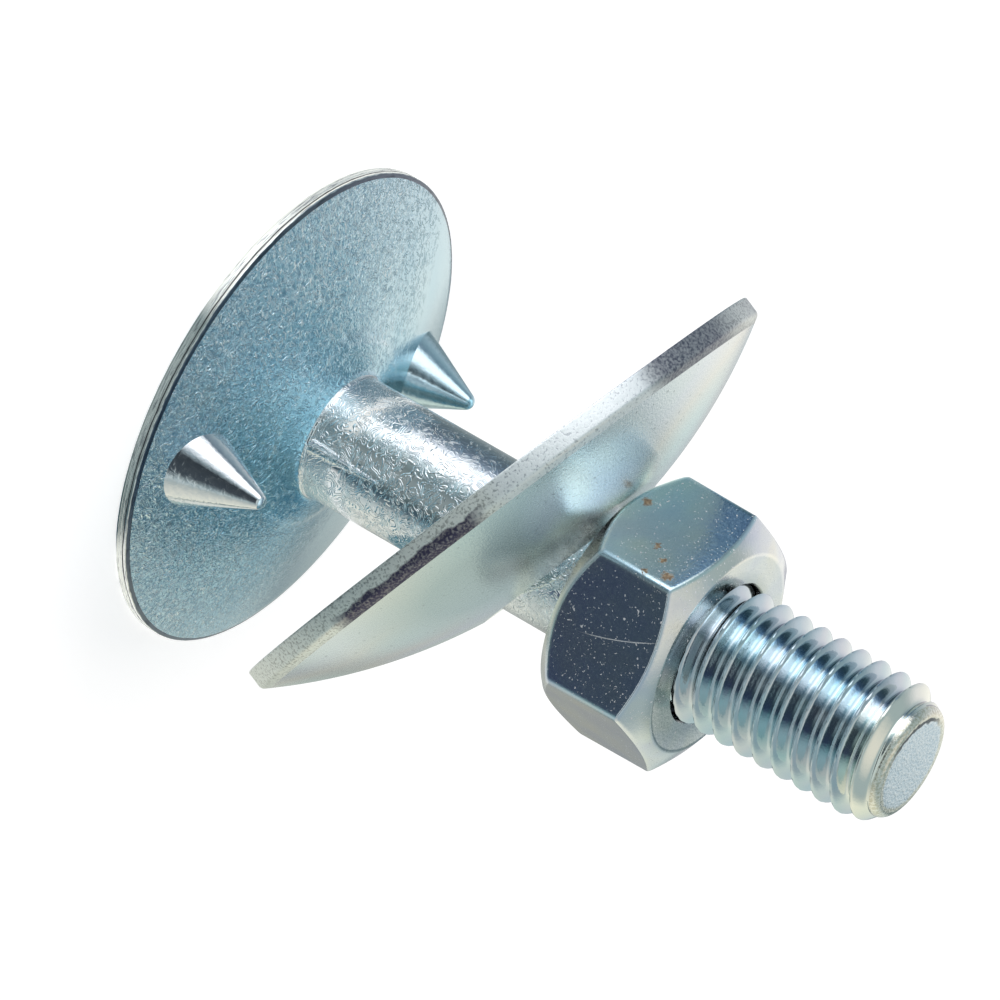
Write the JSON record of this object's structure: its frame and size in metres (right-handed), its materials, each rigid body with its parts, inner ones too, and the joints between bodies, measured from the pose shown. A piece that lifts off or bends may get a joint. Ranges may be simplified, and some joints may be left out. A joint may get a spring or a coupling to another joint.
{
  "type": "elevator bolt",
  "caption": "Fanged belt bolt with a thin round head, a rolled thread, a loose dished washer and a hexagon nut, for clamping a belt or sheet to a bucket.",
  "frame": {"origin": "centre of the head's flat outer face, which the bolt stands on", "axes": "+Z along the shank towards the end of the thread, +X through one of the two fangs"},
  "size_m": [0.0327, 0.0305, 0.0414],
  "materials": {
    "bolt_zinc": "blue-white zinc plating over cold-forged steel, bright on the shank and thread, fine orange peel on the head",
    "washer_zinc": "pale zinc plating, satin, with a sheared and speckled rim",
    "nut_zinc": "zinc plating with fine flecks, scratches and a few rust specks"
  },
  "bodies": {
    "bolt": {"fanged_bolt": "bolt_zinc"},
    "washer": {"dished_washer": "washer_zinc"},
    "nut": {"hex_nut": "nut_zinc"}
  },
  "joints": [
    {"name": "washer_slide", "type": "slide", "parent": "bolt", "child": "washer", "axis": [0, 0, 1], "range_m": [-0.0036, 0]},
    {"name": "nut_turn", "type": "hinge", "parent": "bolt", "child": "nut", "pos_m": [0, 0, 0.02565], "axis": [0, 0, 1], "continuous": true}
  ]
}
